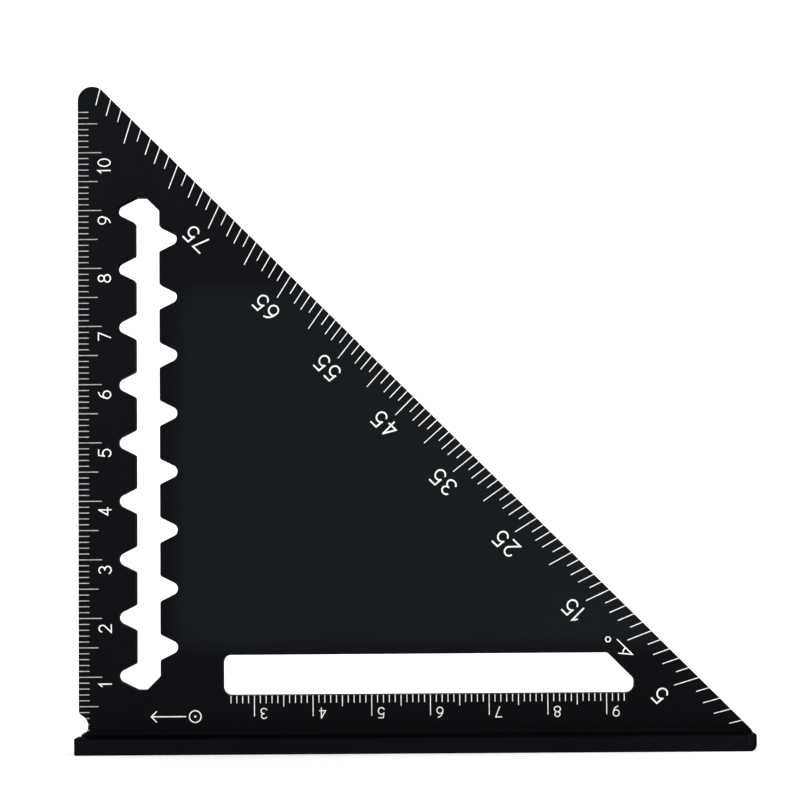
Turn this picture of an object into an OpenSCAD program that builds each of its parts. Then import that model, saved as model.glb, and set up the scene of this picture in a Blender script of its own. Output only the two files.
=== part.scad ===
// Small metric rafter square: a triangular blade with a T-shaped fence along its lower leg.
// Blade and fence are one piece of black aluminium alloy. Its lines, numbers and signs are
// shallow cuts in the front face, each filled with white paint.
// X runs along the fence, Z up the blade and Y through it, with the front face towards -Y.
// The origin is the pivot corner, where the upright edge meets the top of the fence.

/* [Blade] */
// Length of each square leg, from the pivot corner to where the slope would meet it
leg = 115; // [112:0.5:125]
// Thickness of the blade
blade_t = 3; // [2:0.1:5]
// Radius that rounds the upper end of the slope
end_r = 2.5; // [1.5:0.1:3]

/* [Fence] */
// Width of the fence, with the blade at its middle
fence_w = 16; // [12:0.5:24]
// Thickness of the fence, below the pivot corner
fence_t = 2.8; // [2.5:0.1:5]
// Radius along the long edges of the fence
fence_edge_r = 0.4; // [0.2:0.1:0.9]
// Radius of the inside corners between blade and fence
root_r = 0.5; // [0.2:0.1:1]
// Radius of the lower and the upright corners at the square end of the fence
heel_r = 0.4; // [0.2:0.1:1]
// How far the sharp end of the fence stops short of the full leg
toe_cut = 0.1; // [0.05:0.05:0.5]
// Radius of the upright corners at the sharp end of the fence, seen from above
toe_corner_r = 2; // [0.5:0.1:3]

/* [Pivot relief] */
// Radius of the round relief above the pivot corner
relief_r = 2; // [1.2:0.1:2.5]
// How far the centre of the relief lies outside the upright edge
relief_out = 0.4; // [0:0.1:1]
// How far the relief sinks into the top of the fence
relief_sink = 0.3; // [0.05:0.05:0.5]
// Radius where the relief runs out into the upright edge
relief_lip_r = 1; // [0.3:0.1:1.5]

/* [Long slot] */
// Distance from the upright edge to the slot
slot_x = 24.65; // [22:0.05:30]
// Width of the metal between the slot and the slope, along the lower edge of the slot
slot_gap = 13.5; // [13:0.1:20]
// Height of the lower edge of the slot above the fence
slot_z = 6.7; // [6:0.1:9]
// Height of the slot
slot_h = 6.9; // [4.5:0.1:8]
// Width of the metal between the slanted end of the slot and the slope
slot_land = 7.9; // [7:0.1:10]
// Radius of the square corners of the slot
slot_corner_r = 1.4; // [0.5:0.1:1.8]
// Radius of the two corners of the slanted end
slot_slant_r = 0.9; // [0.3:0.1:1.5]

/* [Notched slot] */
// Distance from the upright edge to the straight channel
channel_x = 9.8; // [9:0.1:12]
// Width of the straight channel
channel_w = 4.2; // [3:0.1:5]
// Spacing of the notches on each side
notch_pitch = 10; // [9:0.5:10.5]
// Stretch of the upright edge that stays without notches below its sharp end
notch_bare = 23; // [20:0.5:60]
// How far each notch reaches out from the channel
notch_reach = 3; // [2:0.1:3.5]
// Angle between the two flanks of a notch
notch_angle = 53; // [45:1:60]
// Radius of the bottom of a notch
notch_tip_r = 1.1; // [0.5:0.1:1.2]
// Radius of the two corners at the mouth of a notch
notch_mouth_r = 0.5; // [0.2:0.1:0.8]
// How far the channel runs past its first and its last notch
channel_past = 2.3; // [1.8:0.1:2.5]
// Size of the slanted corner at each end of the channel
channel_cut = 2.4; // [1:0.1:2.5]

/* [Cut marks] */
// Depth of the cut marks
mark_d = 0.15; // [0.1:0.01:0.3]
// How far the paint stands out of its cut
paint_proud = 0.02; // [0.01:0.01:0.05]
// Spacing of the lines on both straight scales
grad = 1; // [1:0.1:1.5]
// Width of the lines of both straight scales
line_w = 0.14; // [0.1:0.01:0.3]
// Gap between a numbered line and its number
number_gap = 1; // [0.6:0.1:1.2]

/* [Edge scale] */
// Length of the short lines on the upright edge
edge_short = 1.85; // [1:0.05:2.5]
// Length of the half-way lines on the upright edge
edge_mid = 3.4; // [2:0.05:4]
// Length of the numbered lines on the upright edge
edge_long = 4.05; // [3:0.05:5]
// Height of the numbers on the upright edge
edge_number_h = 2.3; // [1.8:0.1:2.6]
// Distance from the upright edge to the heads of its numbers
edge_number_x = 3.4; // [2.8:0.1:3.6]
// Stretch of the upright edge that stays bare below its sharp end
edge_bare = 7.5; // [6:0.5:12]

/* [Slot scale] */
// Length of the short lines below the long slot
slot_short = 1.3; // [1:0.05:2]
// Length of the half-way lines below the long slot
slot_mid = 1.9; // [1.5:0.05:2.5]
// Length of the numbered lines below the long slot
slot_long = 3.55; // [3:0.05:4.5]
// Height of the numbers below the long slot
slot_number_h = 1.9; // [1.5:0.1:2.2]
// Distance from the slot down to the feet of its numbers
slot_number_drop = 2.1; // [1.8:0.05:2.4]
// How far the scale stays inside the two ends of the slot
slot_scale_in = 1; // [0.5:0.1:3]

/* [Protractor] */
// Width of the degree lines
degree_w = 0.15; // [0.1:0.01:0.3]
// Length of the shortest degree lines
degree_short = 2.3; // [1.5:0.1:2.6]
// Length of the degree lines two and three degrees from a long one
degree_mid = 3; // [2.7:0.1:3.6]
// Length of the degree lines at every fifth degree
degree_long = 4.4; // [3.8:0.1:5]
// Degree lines aim at the point this far out beyond both sides of the pivot corner
degree_aim = 33; // [10:1:60]
// Highest degree that has a line
degree_top = 88; // [80:1:88]
// Height of the degree numbers
degree_number_h = 3; // [2:0.1:3.2]
// Distance from the slope to the middle of the degree numbers
degree_number_in = 6.8; // [6.5:0.1:7.5]
// Degree numbers stand on lines that aim this far out beyond the pivot corner
degree_number_aim = 100; // [60:5:150]

/* [Signs] */
// Length of the pivot sign
pivot_sign_len = 8.6; // [7:0.1:9]
// Height of the pivot sign
pivot_sign_h = 2.2; // [1.6:0.1:2.4]
// Distance from the upright edge to the arrow tip of the pivot sign
pivot_sign_x = 12.4; // [12:0.1:14]
// Height of the middle of the pivot sign above the fence
pivot_sign_z = 3.2; // [2.8:0.1:3.4]
// Length of the lower leg of the degree sign
degree_sign_base = 3.6; // [2.5:0.1:4.5]
// Angle between the two legs of the degree sign
degree_sign_angle = 40; // [30:1:50]
// Height of the degree sign
degree_sign_h = 1.7; // [1.2:0.1:1.9]
// The degree line that the degree sign stands at
degree_sign_at = 11; // [9.5:0.5:12]
// Distance from the slope to the middle of the degree sign
degree_sign_in = 5.9; // [5.6:0.1:6.2]
// Width of the lines that draw both signs
sign_line_w = 0.2; // [0.14:0.02:0.3]

/* [Hidden] */

METAL = "#16181b";
PAINT = "#e9e8e2";

// One overrun serves every cut
over = 1;
// Angle between two points on a rounded corner and on a digit
round_step = 12;
digit_step = 20;

front = -blade_t / 2;
slope_dir = [-sqrt(1 / 2), sqrt(1 / 2)];
slope_in = [-sqrt(1 / 2), -sqrt(1 / 2)];

// Shares of a digit's height: its width, the width of a 1, the gap to the next, the stroke
digit_w_share = 0.64;
one_w_share = 0.3;
digit_gap_share = 0.2;
stroke_share = 0.09;

// Plane geometry

function unit(v) = v / norm(v);
function left_of(v) = [-v.y, v.x];
function cross_of(a, b) = a.x * b.y - a.y * b.x;
function angle_of(v) = atan2(v.y, v.x);

// Points on an arc of an ellipse
function arc(centre, radii, from, to, step) =
    let (n = max(2, ceil(abs(to - from) / step)))
    [for (i = [0:n])
        let (a = from + (to - from) * i / n)
        centre + [radii.x * cos(a), radii.y * sin(a)]];

// A closed ellipse
function oval(centre, radii) =
    let (n = ceil(360 / digit_step))
    [for (i = [0:n - 1]) centre + [radii.x * cos(360 * i / n), radii.y * sin(360 * i / n)]];

// The points that round one corner, where each corner is [x, y, radius]
function corner(before, here, after) =
    let (
        p = [here.x, here.y],
        a = unit([before.x, before.y] - p),
        b = unit([after.x, after.y] - p),
        between = acos(a * b),
        centre = p + unit(a + b) * here.z / sin(between / 2),
        from = angle_of(p + a * here.z / tan(between / 2) - centre),
        turn = (180 - between) * (cross_of(a, b) < 0 ? 1 : -1)
    )
    here.z == 0 ? [p] : arc(centre, [here.z, here.z], from, from + turn, round_step);

function rounded(corners) =
    let (n = len(corners))
    [for (i = [0:n - 1])
        for (p = corner(corners[(i + n - 1) % n], corners[i], corners[(i + 1) % n])) p];

// Drawing with a round pen

function run_dirs(p, closed) =
    [for (i = [0:len(p) - (closed ? 1 : 2)]) unit(p[(i + 1) % len(p)] - p[i])];

// Side step at each point, for a pen half one unit wide
function side_steps(p, closed) =
    let (d = run_dirs(p, closed), last = len(p) - 1)
    [for (i = [0:last])
        let (
            a = i > 0 ? d[i - 1] : closed ? d[last] : d[0],
            b = closed || i < last ? d[i] : d[last - 1]
        )
        (left_of(a) + left_of(b)) / (1 + a * b)];

module pen_loop(p, w) {
    side = side_steps(p, true);
    n = len(p);
    polygon(
        concat([for (i = [0:n - 1]) p[i] - side[i] * w / 2], [for (i = [0:n - 1]) p[i] + side[i] * w / 2]),
        [[for (i = [0:n - 1]) i], [for (i = [0:n - 1]) n + i]]
    );
}

module pen_line(p, w) {
    side = side_steps(p, false);
    last = len(p) - 1;
    end_angle = angle_of(side[last]);
    start_angle = angle_of(-side[0]);
    cap = [w / 2, w / 2];
    polygon(concat(
        [for (i = [0:last - 1]) p[i] + side[i] * w / 2],
        arc(p[last], cap, end_angle, end_angle - 180, digit_step),
        [for (i = [last - 1:-1:1]) p[i] - side[i] * w / 2],
        arc(p[0], cap, start_angle, start_angle - 180, digit_step)
    ));
}

// Centre lines of the digits 0 to 9, as shares of the box between the outer stroke centres.
// Each digit is a list of strokes, and each stroke is [closed, points].
digit_shares = [
    [[true, oval([0.5, 0.5], [0.5, 0.5])]],
    [[false, [[0, 0.76], [0.85, 1], [0.85, 0]]]],
    [[false, concat(arc([0.49, 0.71], [0.46, 0.29], 165, -32, digit_step), [[0, 0], [1, 0]])]],
    [
        [false, arc([0.47, 0.76], [0.43, 0.24], 155, -90, digit_step)],
        [false, arc([0.48, 0.26], [0.5, 0.26], 90, -155, digit_step)]
    ],
    [[false, [[1, 0.27], [0, 0.27], [0.7, 1]]], [false, [[0.7, 1], [0.7, 0]]]],
    [
        [false, [[0.92, 1], [0.17, 1], [0.08, 0.52]]],
        [false, arc([0.47, 0.33], [0.51, 0.33], 144, -152, digit_step)]
    ],
    [[true, oval([0.5, 0.31], [0.5, 0.31])], [false, arc([0.95, 0.34], [0.92, 0.66], 180, 100, digit_step)]],
    [[false, [[0, 1], [1, 1], [0.34, 0]]]],
    [[true, oval([0.5, 0.76], [0.42, 0.24])], [true, oval([0.5, 0.26], [0.5, 0.26])]],
    [[true, oval([0.5, 0.69], [0.5, 0.31])], [false, arc([0.05, 0.66], [0.92, 0.66], 0, -80, digit_step)]]
];

function digits_of(value) = value < 10 ? [value] : concat(digits_of(floor(value / 10)), [value % 10]);
function digit_w(d, h) = h * (d == 1 ? one_w_share : digit_w_share);
function number_w(d, h, i = 0) =
    i == len(d) ? -h * digit_gap_share : digit_w(d[i], h) + h * digit_gap_share + number_w(d, h, i + 1);

module digit(d, h) {
    w = h * stroke_share;
    box = [digit_w(d, h) - w, h - w];
    for (stroke = digit_shares[d]) {
        points = [for (p = stroke[1]) [w / 2 + p.x * box.x, w / 2 + p.y * box.y]];
        if (stroke[0]) pen_loop(points, w);
        else pen_line(points, w);
    }
}

// A whole number with its foot line on the X axis and its end at the origin
module number(value, h) {
    d = digits_of(value);
    for (i = [0:len(d) - 1]) {
        rest = [for (j = [i:len(d) - 1]) d[j]];
        translate([-number_w(rest, h), 0]) digit(d[i], h);
    }
}

// Outlines in the plane of the blade, as [X, Z]

// The sharp end of the fence is rounded below and where it runs out into the slope. Both radii
// are shares of its thickness, and together they leave a little of the end flat.
toe_r_share = 0.48;
toe_top_r_share = 0.75;

function blade_outline() = rounded([
    [0, -fence_t, heel_r],
    [leg - toe_cut, -fence_t, fence_t * toe_r_share],
    [leg - toe_cut, toe_cut, fence_t * toe_top_r_share],
    [0, leg, end_r]
]);

// The fence seen from above, as [X, Y]
function fence_plan() = rounded([
    [0, -fence_w / 2, heel_r],
    [leg - toe_cut, -fence_w / 2, toe_corner_r],
    [leg - toe_cut, fence_w / 2, toe_corner_r],
    [0, fence_w / 2, heel_r]
]);

// The line through the slanted end of the slot, as the sum of X and Z along it
slant_sum = leg - slot_land * sqrt(2);
slot_end = leg - slot_z - slot_gap;
slot_top = slot_z + slot_h;

function slot_outline() = rounded([
    [slot_x, slot_z, slot_corner_r],
    [slot_end, slot_z, slot_corner_r],
    [slot_end, slant_sum - slot_end, slot_slant_r],
    [slant_sum - slot_top, slot_top, slot_slant_r],
    [slot_x, slot_top, slot_corner_r]
]);

// Number of notches on the side of the upright edge
notch_count = floor((leg - notch_bare) / notch_pitch);
channel_end = channel_x + channel_w;
channel_low = notch_pitch - channel_past;
channel_high = notch_pitch * notch_count + channel_past;
// Distance from the mouth of a notch to the point where its flanks would meet
notch_apex = notch_reach + notch_tip_r * (1 / sin(notch_angle / 2) - 1);
notch_half = notch_apex * tan(notch_angle / 2);
// Where the outer flank of the first and the last notch runs out at the channel's end
flank_out = channel_x - notch_apex + channel_past / tan(notch_angle / 2);

function notched_outline() = rounded(concat(
    [
        [flank_out, channel_low, notch_mouth_r],
        [channel_end - channel_cut, channel_low, notch_mouth_r],
        [channel_end, channel_low + channel_cut, notch_mouth_r]
    ],
    [for (k = [1:notch_count - 1], side = [-1:1])
        side == 0
            ? [channel_end + notch_apex, notch_pitch * (k + 1 / 2), notch_tip_r]
            : [channel_end, notch_pitch * (k + 1 / 2) + side * notch_half, notch_mouth_r]],
    [
        [channel_end, channel_high - channel_cut, notch_mouth_r],
        [channel_end - channel_cut, channel_high, notch_mouth_r],
        [flank_out, channel_high, notch_mouth_r]
    ],
    [for (k = [notch_count:-1:1], side = [1:-1:-1])
        if (!(k == notch_count && side == 1) && !(k == 1 && side == -1))
            side == 0
                ? [channel_x - notch_apex, notch_pitch * k, notch_tip_r]
                : [channel_x, notch_pitch * k + side * notch_half, notch_mouth_r]]
));

function tee_outline() = rounded([
    [-fence_w / 2, -fence_t, fence_edge_r],
    [fence_w / 2, -fence_t, fence_edge_r],
    [fence_w / 2, 0, fence_edge_r],
    [blade_t / 2, 0, root_r],
    [blade_t / 2, leg, 0],
    [-blade_t / 2, leg, 0],
    [-blade_t / 2, 0, root_r],
    [-fence_w / 2, 0, fence_edge_r]
]);

// Stands a flat shape upright and gives it the depth from one Y to another
module upright(from, to) translate([0, to, 0]) rotate([90, 0, 0]) linear_extrude(to - from) children();

relief_centre = [-relief_out, relief_r - relief_sink];
// The lip is an arc that touches both the upright edge and the circle of the relief
lip_centre = [
    relief_lip_r,
    relief_centre.y + sqrt((relief_r + relief_lip_r) ^ 2 - (relief_lip_r + relief_out) ^ 2)
];
lip_angle = angle_of(lip_centre - relief_centre);
lip_points = arc(lip_centre, [relief_lip_r, relief_lip_r], 180 + lip_angle, 180, round_step);

module relief() polygon(concat(
    arc(relief_centre, [relief_r, relief_r], -90, lip_angle, round_step),
    [for (i = [1:len(lip_points) - 1]) lip_points[i]],
    [[-relief_out, lip_centre.y]]
));

// Marks, drawn in the plane of the blade

// Every tenth line is numbered, and every fifth is a half-way line
tenth = 10;
fifth = 5;

function rank(i) = i % tenth == 0 ? 2 : i % fifth == 0 ? 1 : 0;

edge_last = floor((leg - edge_bare) / grad);
slot_first = ceil((slot_x + slot_scale_in) / grad);
slot_last = floor((slot_end - slot_scale_in) / grad);

module edge_lines() {
    lengths = [edge_short, edge_mid, edge_long];
    difference() {
        for (i = [1:edge_last])
            translate([0, i * grad - line_w / 2]) square([lengths[rank(i)], line_w]);
        relief();
    }
}

module edge_numbers()
    for (i = [1:floor(edge_last / tenth)])
        translate([edge_number_x + edge_number_h, i * tenth * grad - number_gap]) rotate(90)
            number(i, edge_number_h);

module slot_lines() {
    lengths = [slot_short, slot_mid, slot_long];
    for (i = [slot_first:slot_last])
        translate([i * grad - line_w / 2, slot_z - lengths[rank(i)]])
            square([line_w, lengths[rank(i)]]);
}

module slot_numbers()
    for (i = [ceil(slot_first / tenth):floor(slot_last / tenth)])
        translate([i * tenth * grad + number_gap, slot_z - slot_number_drop]) rotate(180)
            number(i, slot_number_h);

// Where the ray at a degrees from the fence leaves the blade
function on_slope(a) = leg * [cos(a), sin(a)] / (cos(a) + sin(a));
function aimed(a, out) = unit([-out, -out] - on_slope(a));

module degree_line(a) {
    nearest = abs(a - round(a / fifth) * fifth);
    length = [degree_long, degree_short, degree_mid][nearest];
    p = on_slope(a);
    u = aimed(a, degree_aim);
    // Half the width of the line where the slope cuts it
    k = degree_w / 2 / cross_of(slope_dir, u);
    polygon([
        p - slope_dir * k,
        p + slope_dir * k,
        p + u * length - left_of(u) * degree_w / 2,
        p + u * length + left_of(u) * degree_w / 2
    ]);
}

module degree_lines() intersection() {
    for (a = [1:degree_top]) degree_line(a);
    polygon(blade_outline());
}

// How far up the slope each degree number stands from its even place, as shares of its height
degree_shift_shares = [0.17, 0.17, -0.07, 0, 0.07, 0.03, 0.03, 0.03];

module degree_numbers()
    for (i = [0:floor(degree_top / tenth) - 1]) {
        a = fifth + i * tenth;
        u = aimed(a, degree_number_aim);
        shift = slope_dir * degree_number_h * degree_shift_shares[i];
        middle = on_slope(a) + u * degree_number_in / (u * slope_in) + shift;
        w = number_w(digits_of(a), degree_number_h);
        translate(middle) rotate(135) translate([w, -degree_number_h] / 2) number(a, degree_number_h);
    }

// Shares of the height of the pivot sign: its arrow head and the gap before its ring
arrow_head_share = 0.4;
arrow_gap_share = 0.25;

// An arrow from a dotted ring towards the pivot corner
module pivot_sign() {
    ring_r = (pivot_sign_h - sign_line_w) / 2;
    head = pivot_sign_h * arrow_head_share;
    tail = pivot_sign_len - pivot_sign_h * (1 + arrow_gap_share);
    translate([pivot_sign_x, pivot_sign_z]) {
        pen_line([[sign_line_w, 0], [tail, 0]], sign_line_w);
        pen_line([[head, head], [0, 0], [head, -head]], sign_line_w);
        translate([pivot_sign_len - pivot_sign_h / 2, 0]) {
            pen_loop(oval([0, 0], [ring_r, ring_r]), sign_line_w);
            polygon(oval([0, 0], [sign_line_w, sign_line_w]));
        }
    }
}

// Shares of the height of the degree sign: the arc between its legs, the ring and its place
sign_arc_share = 1.1;
sign_ring_share = 0.28;
sign_ring_gap_share = 0.75;
// Share of the line width by which the arc starts and ends off the middle of a leg
arc_inset_share = 0.25;

// Two legs with an arc between them, and a small raised ring
module degree_sign() {
    h = degree_sign_h - sign_line_w;
    slant = h / tan(degree_sign_angle);
    bow = h * sign_arc_share;
    // The round ends of the arc stop inside the two legs, short of their far sides
    inset = asin(sign_line_w * arc_inset_share / bow);
    ring_r = h * sign_ring_share;
    ring_x = degree_sign_base + h * sign_ring_gap_share;
    translate(on_slope(degree_sign_at) + slope_in * degree_sign_in) rotate(135)
        translate([-(ring_x + ring_r) / 2, -h / 2]) {
            pen_line([[slant, h], [0, 0], [degree_sign_base, 0]], sign_line_w);
            pen_line(arc([0, 0], [bow, bow], inset, degree_sign_angle - inset, digit_step), sign_line_w);
            translate([ring_x, h - ring_r]) pen_loop(oval([0, 0], [ring_r, ring_r]), sign_line_w);
        }
}

// Paint fills one set of cuts
module paint() color(PAINT) upright(front - paint_proud, front + mark_d) children();

module square_body() color(METAL) difference() {
    intersection() {
        rotate([90, 0, 90]) linear_extrude(leg) polygon(tee_outline());
        upright(-fence_w / 2 - over, fence_w / 2 + over) polygon(blade_outline());
        translate([0, 0, -fence_t - over]) linear_extrude(leg + fence_t + over) polygon(fence_plan());
    }
    upright(front - over, over - front) polygon(slot_outline());
    upright(front - over, over - front) polygon(notched_outline());
    upright(front - root_r, root_r - front) relief();
    upright(front - over, front + mark_d) {
        edge_lines();
        edge_numbers();
        slot_lines();
        slot_numbers();
        degree_lines();
        degree_numbers();
        pivot_sign();
        degree_sign();
    }
}

module edge_scale_lines() paint() edge_lines();
module edge_scale_numbers() paint() edge_numbers();
module slot_scale_lines() paint() slot_lines();
module slot_scale_numbers() paint() slot_numbers();
module protractor_lines() paint() degree_lines();
module protractor_numbers() paint() degree_numbers();
module pivot_symbol() paint() pivot_sign();
module degree_symbol() paint() degree_sign();

square_body();
edge_scale_lines();
edge_scale_numbers();
slot_scale_lines();
slot_scale_numbers();
protractor_lines();
protractor_numbers();
pivot_symbol();
degree_symbol();
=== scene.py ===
import math

import bmesh
import bpy
from mathutils import Matrix, Vector


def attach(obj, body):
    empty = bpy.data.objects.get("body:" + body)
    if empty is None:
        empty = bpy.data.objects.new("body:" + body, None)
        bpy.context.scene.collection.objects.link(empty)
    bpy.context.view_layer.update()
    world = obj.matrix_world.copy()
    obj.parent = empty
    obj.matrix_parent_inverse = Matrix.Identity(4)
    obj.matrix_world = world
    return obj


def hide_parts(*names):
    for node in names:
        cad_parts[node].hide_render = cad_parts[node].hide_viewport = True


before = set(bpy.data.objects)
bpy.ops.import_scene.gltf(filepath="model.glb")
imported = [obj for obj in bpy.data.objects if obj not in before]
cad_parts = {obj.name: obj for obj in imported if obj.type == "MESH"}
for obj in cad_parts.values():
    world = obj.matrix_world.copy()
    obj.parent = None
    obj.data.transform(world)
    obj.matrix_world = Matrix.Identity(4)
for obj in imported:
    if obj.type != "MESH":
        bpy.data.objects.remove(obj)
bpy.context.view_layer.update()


# The camera stands straight in front of the blade, a little above the fence and tipped up by
# under three degrees, and so far off that the fence's ends hardly fan out. Its place comes
# from the millimetre lines in the photograph.

camera_data = bpy.data.cameras.new("photograph_camera")
camera_data.lens = 118.05
camera_data.sensor_width = 36
camera_data.sensor_fit = "HORIZONTAL"
camera_data.clip_start = 0.01
camera_data.clip_end = 20
camera = bpy.data.objects.new("photograph_camera", camera_data)
camera.location = (0.0589215, -0.4504015, 0.0361236)
camera.rotation_euler = [math.radians(angle) for angle in (92.6561, 0.4271, 0.495)]
bpy.context.scene.collection.objects.link(camera)
bpy.context.scene.camera = camera


# The square itself: blade and T-shaped fence in one piece of aluminium alloy, cast or milled,
# with two slots through the blade and a round relief at the pivot corner. Every edge is broken
# by a hair, as tumbling before anodising leaves it.

MM = 0.001
LEG = 115
BLADE_T = 3
END_R = 2.5
FENCE_W = 16
FENCE_T = 2.8
FENCE_EDGE_R = 0.4
ROOT_R = 0.5
HEEL_R = 0.4
TOE_CUT = 0.1
TOE_CORNER_R = 2
TOE_LOWER_R = 0.48 * FENCE_T
TOE_UPPER_R = 0.75 * FENCE_T
SLOT_X, SLOT_END, SLOT_Z, SLOT_TOP, SLOT_LAND = 24.65, 94.8, 6.7, 13.6, 7.9
SLOT_CORNER_R, SLOT_SLANT_R = 1.4, 0.9
CHANNEL_X, CHANNEL_END, CHANNEL_CUT, CHANNEL_PAST = 9.8, 14, 2.4, 2.3
NOTCH_PITCH, NOTCHES, NOTCH_REACH, NOTCH_ANGLE = 10, 9, 3, 53
NOTCH_TIP_R, NOTCH_MOUTH_R = 1.1, 0.5
RELIEF_R, RELIEF_OUT, RELIEF_SINK, RELIEF_LIP_R = 2, 0.4, 0.3, 1
BROKEN_EDGE = 0.1
SAME_POINT = 0.002
OVER = 1


def arc_points(centre, radius, start, end, step=6):
    """Points on an arc from start to end, in degrees, with step degrees between them."""
    count = max(2, math.ceil(abs(end - start) / step))
    angles = [math.radians(start + (end - start) * i / count) for i in range(count + 1)]
    return [
        Vector((centre[0] + radius * math.cos(a), centre[1] + radius * math.sin(a)))
        for a in angles
    ]


def rounded_outline(corners):
    """The closed line through corners given as (across, up, radius), in millimetres."""
    line = []
    for i, (x, z, radius) in enumerate(corners):
        here = Vector((x, z))
        before = (Vector(corners[i - 1][:2]) - here).normalized()
        after = (Vector(corners[(i + 1) % len(corners)][:2]) - here).normalized()
        if radius == 0:
            line.append(here)
            continue
        half = before.angle(after) / 2
        centre = here + (before + after).normalized() * radius / math.sin(half)
        touch = here + before * radius / math.tan(half) - centre
        start = math.degrees(math.atan2(touch.y, touch.x))
        turn = 180 - math.degrees(2 * half)
        end = start + (turn if before.cross(after) < 0 else -turn)
        line += arc_points(centre, radius, start, end)
    return line


def link_piece(name, mesh):
    piece = bpy.data.objects.new(name, mesh)
    bpy.context.scene.collection.objects.link(piece)
    return piece


def drawn_out(name, outline, depth, place):
    """A flat outline drawn out into a solid, then turned and moved by place."""
    bm = bmesh.new()
    face = bm.faces.new([bm.verts.new((p.x * MM, p.y * MM, 0)) for p in outline])
    drawn = bmesh.ops.extrude_face_region(bm, geom=[face])["geom"]
    tips = [v for v in drawn if isinstance(v, bmesh.types.BMVert)]
    bmesh.ops.translate(bm, verts=tips, vec=(0, 0, depth * MM))
    bmesh.ops.transform(bm, matrix=place, verts=bm.verts)
    bmesh.ops.recalc_face_normals(bm, faces=bm.faces)
    mesh = bpy.data.meshes.new(name)
    bm.to_mesh(mesh)
    bm.free()
    return link_piece(name, mesh)


def through_blade(name, outline, depth):
    """A solid with its outline in the plane of the blade, as deep to the front as to the back."""
    upright = Matrix.Rotation(math.radians(90), 4, "X")
    return drawn_out(name, outline, depth, Matrix.Translation((0, depth * MM / 2, 0)) @ upright)


def cut_with(piece, cutter, operation):
    """Cuts a piece with another solid, keeps the result and clears the cutter away."""
    step = piece.modifiers.new(operation.lower(), "BOOLEAN")
    step.operation, step.solver, step.object = operation, "MANIFOLD", cutter
    shaped = piece.evaluated_get(bpy.context.evaluated_depsgraph_get())
    mesh = bpy.data.meshes.new_from_object(shaped)
    piece.modifiers.clear()
    piece.data = mesh
    bpy.data.objects.remove(cutter)


tee_line = rounded_outline([
    (-FENCE_W / 2, -FENCE_T, FENCE_EDGE_R),
    (FENCE_W / 2, -FENCE_T, FENCE_EDGE_R),
    (FENCE_W / 2, 0, FENCE_EDGE_R),
    (BLADE_T / 2, 0, ROOT_R),
    (BLADE_T / 2, LEG, 0),
    (-BLADE_T / 2, LEG, 0),
    (-BLADE_T / 2, 0, ROOT_R),
    (-FENCE_W / 2, 0, FENCE_EDGE_R),
])
along_fence = Matrix(((0, 0, 1, 0), (1, 0, 0, 0), (0, 1, 0, 0), (0, 0, 0, 1)))
body = drawn_out("square_casting", tee_line, LEG, along_fence)

toe = LEG - TOE_CUT
blade_line = rounded_outline([
    (0, -FENCE_T, HEEL_R),
    (toe, -FENCE_T, TOE_LOWER_R),
    (toe, TOE_CUT, TOE_UPPER_R),
    (0, LEG, END_R),
])
cut_with(body, through_blade("triangle_cut", blade_line, FENCE_W + 2 * OVER), "INTERSECT")

# Seen from above, the corners of the fence are rounded: hardly at its square end, and more at
# its sharp end. Each cutter is the waste outside one rounded corner.
for end, out, radius in ((0, -1, HEEL_R), (toe, 1, TOE_CORNER_R)):
    for side in (-1, 1):
        centre = Vector((end - out * radius, side * (FENCE_W / 2 - radius)))
        start = 0 if out > 0 else 180
        corner_line = arc_points(centre, radius, start, start + out * side * 90)
        past_end, past_side = end + out * OVER, side * (FENCE_W / 2 + OVER)
        corner_line += [
            Vector((centre.x, past_side)),
            Vector((past_end, past_side)),
            Vector((past_end, centre.y)),
        ]
        under_fence = Matrix.Translation((0, 0, -(FENCE_T + OVER) * MM))
        corner_cut = drawn_out("corner_cut", corner_line, FENCE_T + 2 * OVER, under_fence)
        cut_with(body, corner_cut, "DIFFERENCE")

# The scribing slot ends in a slant, with an even land between it and the slope
slant = LEG - SLOT_LAND * math.sqrt(2)
slot_line = rounded_outline([
    (SLOT_X, SLOT_Z, SLOT_CORNER_R),
    (SLOT_END, SLOT_Z, SLOT_CORNER_R),
    (SLOT_END, slant - SLOT_END, SLOT_SLANT_R),
    (slant - SLOT_TOP, SLOT_TOP, SLOT_SLANT_R),
    (SLOT_X, SLOT_TOP, SLOT_CORNER_R),
])
cut_with(body, through_blade("scribing_slot_cut", slot_line, BLADE_T + 2 * OVER), "DIFFERENCE")

# Notches alternate: nine towards the upright edge at whole centimetres, eight between them
half_angle = math.radians(NOTCH_ANGLE / 2)
apex = NOTCH_REACH + NOTCH_TIP_R * (1 / math.sin(half_angle) - 1)
mouth = apex * math.tan(half_angle)
flank_out = CHANNEL_X - apex + CHANNEL_PAST / math.tan(half_angle)
low, high = NOTCH_PITCH - CHANNEL_PAST, NOTCH_PITCH * NOTCHES + CHANNEL_PAST
channel_corners = [
    (flank_out, low, NOTCH_MOUTH_R),
    (CHANNEL_END - CHANNEL_CUT, low, NOTCH_MOUTH_R),
    (CHANNEL_END, low + CHANNEL_CUT, NOTCH_MOUTH_R),
]
for k in range(1, NOTCHES):
    middle = NOTCH_PITCH * (k + 0.5)
    channel_corners += [
        (CHANNEL_END, middle - mouth, NOTCH_MOUTH_R),
        (CHANNEL_END + apex, middle, NOTCH_TIP_R),
        (CHANNEL_END, middle + mouth, NOTCH_MOUTH_R),
    ]
channel_corners += [
    (CHANNEL_END, high - CHANNEL_CUT, NOTCH_MOUTH_R),
    (CHANNEL_END - CHANNEL_CUT, high, NOTCH_MOUTH_R),
    (flank_out, high, NOTCH_MOUTH_R),
]
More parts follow.
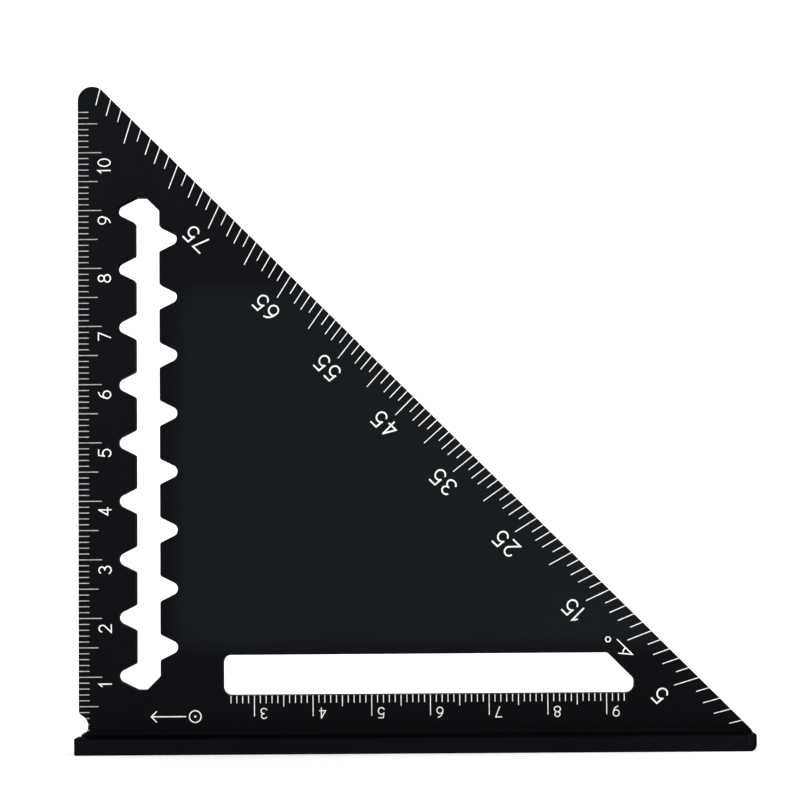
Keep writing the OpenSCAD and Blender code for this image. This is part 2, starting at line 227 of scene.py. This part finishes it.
for k in range(NOTCHES, 0, -1):
    middle = NOTCH_PITCH * k
    if k < NOTCHES:
        channel_corners.append((CHANNEL_X, middle + mouth, NOTCH_MOUTH_R))
    channel_corners.append((CHANNEL_X - apex, middle, NOTCH_TIP_R))
    if k > 1:
        channel_corners.append((CHANNEL_X, middle - mouth, NOTCH_MOUTH_R))
channel_line = rounded_outline(channel_corners)
cut_with(body, through_blade("marking_slot_cut", channel_line, BLADE_T + 2 * OVER), "DIFFERENCE")

# The relief is a round cut at the pivot corner, and runs out into the upright edge over a lip
relief_centre = Vector((-RELIEF_OUT, RELIEF_R - RELIEF_SINK))
lip_rise = math.sqrt((RELIEF_R + RELIEF_LIP_R) ** 2 - (RELIEF_LIP_R + RELIEF_OUT) ** 2)
lip_centre = Vector((RELIEF_LIP_R, relief_centre.y + lip_rise))
lip_angle = math.degrees(math.atan2(lip_rise, RELIEF_LIP_R + RELIEF_OUT))
relief_line = arc_points(relief_centre, RELIEF_R, -90, lip_angle)
relief_line += arc_points(lip_centre, RELIEF_LIP_R, 180 + lip_angle, 180)[1:]
relief_line.append(Vector((-RELIEF_OUT, lip_centre.y)))
cut_with(body, through_blade("relief_cut", relief_line, BLADE_T + 2 * ROOT_R), "DIFFERENCE")

bm = bmesh.new()
bm.from_mesh(body.data)
bmesh.ops.remove_doubles(bm, verts=bm.verts, dist=SAME_POINT * MM)
bmesh.ops.dissolve_limit(bm, angle_limit=math.radians(1), verts=bm.verts, edges=bm.edges)
bmesh.ops.recalc_face_normals(bm, faces=bm.faces)

# The cuts leave corners and faces in an order that changes from run to run, so both are listed
# anew in a fixed order
corners = sorted(bm.verts, key=lambda v: tuple(round(c / MM, 3) for c in v.co))
listed = {corner: i for i, corner in enumerate(corners)}
rings = []
for face in bm.faces:
    ring = [listed[v] for v in face.verts]
    first = ring.index(min(ring))
    rings.append(ring[first:] + ring[:first])
body.data = bpy.data.meshes.new("square_casting")
body.data.from_pydata([v.co for v in corners], [], sorted(rings))
bm.free()
for face in body.data.polygons:
    face.use_smooth = True
broken = body.modifiers.new("broken_edges", "BEVEL")
broken.width = BROKEN_EDGE * MM
broken.segments = 2
broken.profile = 0.5
broken.limit_method = "ANGLE"
broken.angle_limit = math.radians(35)
broken.harden_normals = True


def hex_colour(code):
    """A hex sRGB colour as the linear numbers that a shader takes, with full alpha."""
    shares = [int(code[i : i + 2], 16) / 255 for i in (1, 3, 5)]
    return [s / 12.92 if s <= 0.04045 else ((s + 0.055) / 1.055) ** 2.4 for s in shares] + [1]


def add_node(material, kind, settings=None, values=None, links=()):
    """Adds a node with its options and socket values, and links (from node, socket, own socket)."""
    node = material.node_tree.nodes.new(kind)
    for name, value in (settings or {}).items():
        setattr(node, name, value)
    for name, value in (values or {}).items():
        node.inputs[name].default_value = value
    for source, output, socket in links:
        material.node_tree.links.new(source.outputs[output], node.inputs[socket])
    return node


def new_finish(name):
    finish = bpy.data.materials.new(name)
    finish.use_nodes = True
    finish.node_tree.nodes.clear()
    return finish


# Black anodised aluminium, bead blasted first. The dyed oxide gives a deep, faintly blue black
# with a satin sheen, and the blasting leaves a grain of about 0.1 mm, drawn at 0.25 mm to show.
GRAIN = 0.25
CLOUD = 18
MIDDLE_LEFT, MIDDLE_LOW, MIDDLE_HIGH = 17, 15, 77
MIDDLE_CORNER, MIDDLE_BLUR = 6, 3

anodised = new_finish("black_anodised_bead_blasted_aluminium")
place = add_node(anodised, "ShaderNodeTexCoord")
cloud = add_node(
    anodised, "ShaderNodeTexNoise",
    values={"Scale": 1 / (CLOUD * MM), "Detail": 2, "Roughness": 0.5},
    links=[(place, "Object", "Vector")],
)

# Painted sheen: the base colour is painted lighter and bluer over the middle of the blade, as a
# soft reflection would light it, and stays darker along the marking slot, under the scribing slot
# and on the fence. Each distance is how far a point lies inside that middle, in metres.
axes = add_node(anodised, "ShaderNodeSeparateXYZ", links=[(place, "Object", "Vector")])
distances = []
for axis, sign, border in (("X", 1, -MIDDLE_LEFT), ("Z", 1, -MIDDLE_LOW), ("Z", -1, MIDDLE_HIGH)):
    distance = add_node(
        anodised, "ShaderNodeMath", {"operation": "MULTIPLY_ADD"},
        links=[(axes, axis, 0)],
    )
    distance.inputs[1].default_value = sign
    distance.inputs[2].default_value = border * MM
    distances.append(distance)
inside = distances[0]
for distance in distances[1:]:
    inside = add_node(
        anodised, "ShaderNodeMath", {"operation": "SMOOTH_MIN"},
        links=[(inside, "Value", 0), (distance, "Value", 1)],
    )
    inside.inputs[2].default_value = MIDDLE_CORNER * MM
# The painted sheen itself: 0 outside the middle of the blade, 0.8 inside it, with a soft border
middle = add_node(
    anodised, "ShaderNodeMapRange", {"interpolation_type": "SMOOTHSTEP"},
    values={
        "From Min": -MIDDLE_BLUR * MM, "From Max": MIDDLE_BLUR * MM,
        "To Min": 0, "To Max": 0.8,
    },
    links=[(inside, "Value", "Value")],
)
# Painted shade: the base colour grows lighter from the fence up to the top of the blade, standing
# in for the shade and dark reflection near the fence
painted_fence_shade = add_node(
    anodised, "ShaderNodeMapRange",
    values={"From Min": 0, "From Max": LEG * MM, "To Min": 0, "To Max": 0.4},
    links=[(axes, "Z", "Value")],
)
# Where the painted sheen and the painted shade overlap, the lighter of the two is kept
painted_sheen_and_shade = add_node(
    anodised, "ShaderNodeMath", {"operation": "MAXIMUM"},
    links=[(middle, "Result", 0), (painted_fence_shade, "Result", 1)],
)
# The random cloud adds real unevenness of the dye on top of the painted sheen and shade
shade = add_node(
    anodised, "ShaderNodeMath", {"operation": "MULTIPLY_ADD"},
    links=[(cloud, "Fac", 0), (painted_sheen_and_shade, "Value", 2)],
)
shade.inputs[1].default_value = 0.2
grain = add_node(
    anodised, "ShaderNodeTexNoise",
    values={"Scale": 1 / (GRAIN * MM), "Detail": 3, "Roughness": 0.6},
    links=[(place, "Object", "Vector")],
)
# The ramp's ends are two tones of the dye; how far a point goes towards the lighter one is mostly
# painted sheen and shade
dye_with_painted_sheen = add_node(anodised, "ShaderNodeValToRGB", links=[(shade, "Value", "Fac")])
dye_with_painted_sheen.color_ramp.elements[0].position = 0.05
dye_with_painted_sheen.color_ramp.elements[0].color = hex_colour("#0f0f12")
dye_with_painted_sheen.color_ramp.elements[1].position = 0.9
dye_with_painted_sheen.color_ramp.elements[1].color = hex_colour("#181b1e")
satin = add_node(
    anodised, "ShaderNodeMapRange",
    values={"From Min": 0.3, "From Max": 0.7, "To Min": 0.36, "To Max": 0.46},
    links=[(grain, "Fac", "Value")],
)
blasted = add_node(
    anodised, "ShaderNodeBump",
    values={"Strength": 0.25, "Distance": 0.01 * MM},
    links=[(grain, "Fac", "Height")],
)
# The dyed oxide scatters part of the light, and the metal under it mirrors the rest
shader = add_node(
    anodised, "ShaderNodeBsdfPrincipled",
    values={"Metallic": 0.6, "Specular IOR Level": 0, "Specular Tint": hex_colour("#000000")},
    links=[
        (dye_with_painted_sheen, "Color", "Base Color"),
        (satin, "Result", "Roughness"),
        (blasted, "Normal", "Normal"),
    ],
)
add_node(anodised, "ShaderNodeOutputMaterial", links=[(shader, "BSDF", "Surface")])

body.data.materials.append(anodised)
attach(body, "root")
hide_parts("square_body")


# The millimetre scale along the upright edge: shallow cuts filled with white enamel, which is
# wiped off around them until it stands only a hair proud of the metal. The wiping leaves streaks
# of about 0.8 mm.

STREAK = 0.8


def enamel_finish(name, thin, full):
    """Filler in two tones: the thin one where the wiping took more of it away."""
    enamel = new_finish(name)
    place = add_node(enamel, "ShaderNodeTexCoord")
    streaks = add_node(
        enamel, "ShaderNodeTexNoise",
        values={"Scale": 1 / (STREAK * MM), "Detail": 2, "Roughness": 0.5},
        links=[(place, "Object", "Vector")],
    )
    wiped = add_node(enamel, "ShaderNodeValToRGB", links=[(streaks, "Fac", "Fac")])
    wiped.color_ramp.elements[0].position = 0.25
    wiped.color_ramp.elements[0].color = hex_colour(thin)
    wiped.color_ramp.elements[1].position = 0.6
    wiped.color_ramp.elements[1].color = hex_colour(full)
    chalk = add_node(
        enamel, "ShaderNodeMapRange",
        values={"From Min": 0.3, "From Max": 0.7, "To Min": 0.5, "To Max": 0.65},
        links=[(streaks, "Fac", "Value")],
    )
    shader = add_node(
        enamel, "ShaderNodeBsdfPrincipled",
        links=[(wiped, "Color", "Base Color"), (chalk, "Result", "Roughness")],
    )
    add_node(enamel, "ShaderNodeOutputMaterial", links=[(shader, "BSDF", "Surface")])
    return enamel


def fill_with(finish, *names):
    for name in names:
        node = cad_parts[name]
        node.data.materials.clear()
        node.data.materials.append(finish)


# The lines of this scale are worn: their filler is thin and greyer than in the other marks
worn_enamel = enamel_finish("worn_white_enamel_filler", "#8f8e89", "#b6b5ae")
enamel = enamel_finish("white_enamel_filler", "#cfcec6", "#ecebe4")
fill_with(worn_enamel, "edge_scale_lines")
fill_with(enamel, "edge_scale_numbers")


# The millimetre scale under the long slot, read along a pencil line through the slot. The same
# cuts and the same filler as on the upright edge.

fill_with(enamel, "slot_scale_lines", "slot_scale_numbers")


# The degree scale along the sloping edge, and the two signs that tell which corner is the pivot
# and which scale reads degrees. The same cuts and filler again.

fill_with(enamel, "protractor_lines", "protractor_numbers", "pivot_symbol", "degree_symbol")


# The studio: a seamless white sheet that runs from under the fence up behind the blade, and
# soft boxes high on both sides. Little light comes from behind the camera, so the black metal
# mirrors a dim room and stays black. All its sizes and places are in metres.

FLOOR = -FENCE_T * MM
SHEET_REACH = 7
SHEET_BACK, SHEET_TOP = 0.5, 1.6
BEND_R = 0.4
bend_centre = (SHEET_BACK, FLOOR + BEND_R)
sheet_line = [Vector((-SHEET_REACH, FLOOR)), *arc_points(bend_centre, BEND_R, -90, 0)]
sheet_line.append(Vector((SHEET_BACK + BEND_R, SHEET_TOP)))
bm = bmesh.new()
row = [bm.verts.new((-SHEET_REACH, p.x, p.y)) for p in sheet_line]
edges = [bm.edges.new(pair) for pair in zip(row, row[1:])]
wide = bmesh.ops.extrude_edge_only(bm, edges=edges)["geom"]
far_row = [v for v in wide if isinstance(v, bmesh.types.BMVert)]
bmesh.ops.translate(bm, verts=far_row, vec=(2 * SHEET_REACH, 0, 0))
bmesh.ops.recalc_face_normals(bm, faces=bm.faces)
mesh = bpy.data.meshes.new("white_sheet")
bm.to_mesh(mesh)
bm.free()
sheet = link_piece("white_sheet", mesh)
for face in sheet.data.polygons:
    face.use_smooth = True

# Matt white paper, lit from above and given a painted glow of its own under and behind the square,
# so that it goes to plain white and shows no shadow. In front of the square it has no glow of its
# own, so that the metal has nothing bright to mirror.
paper = new_finish("matt_white_paper")
place = add_node(paper, "ShaderNodeTexCoord")
depth = add_node(paper, "ShaderNodeSeparateXYZ", links=[(place, "Object", "Vector")])
# Painted glow: the paper gives off light of its own under and behind the square, and none in front
# of it
painted_glow = add_node(
    paper, "ShaderNodeMapRange",
    values={"From Min": -0.13, "From Max": -0.09, "To Min": 0, "To Max": 0.35},
    links=[(depth, "Y", "Value")],
)
shader = add_node(
    paper, "ShaderNodeBsdfPrincipled",
    values={
        "Base Color": hex_colour("#f4f4f2"), "Roughness": 0.9, "Specular IOR Level": 0.1,
        "Emission Color": hex_colour("#ffffff"),
    },
    links=[(painted_glow, "Result", "Emission Strength")],
)
add_node(paper, "ShaderNodeOutputMaterial", links=[(shader, "BSDF", "Surface")])
sheet.data.materials.append(paper)


def soft_box(name, place, aim, width, height, power):
    light = bpy.data.lights.new(name, "AREA")
    light.shape, light.size, light.size_y = "RECTANGLE", width, height
    light.energy = power
    lamp = bpy.data.objects.new(name, light)
    lamp.location = place
    lamp.rotation_mode = "QUATERNION"
    lamp.rotation_quaternion = (Vector(aim) - Vector(place)).to_track_quat("-Z", "Y")
    bpy.context.scene.collection.objects.link(lamp)


soft_box("left_box", (-0.75, -0.9, 0.45), (0.05, 0, 0.04), 0.6, 0.6, 9)
soft_box("right_box", (0.85, -0.9, 0.45), (0.05, 0, 0.04), 0.6, 0.6, 9)
soft_box("top_box", (0.05, 0.3, 1.0), (0.05, 0.1, 0), 0.9, 0.5, 4)

room = bpy.data.worlds.new("studio_room")
room.use_nodes = True
room_light = room.node_tree.nodes["Background"]
room_light.inputs["Color"].default_value = hex_colour("#e8ecf2")
room_light.inputs["Strength"].default_value = 0.3
bpy.context.scene.world = room
bpy.context.scene.view_settings.view_transform = "Standard"
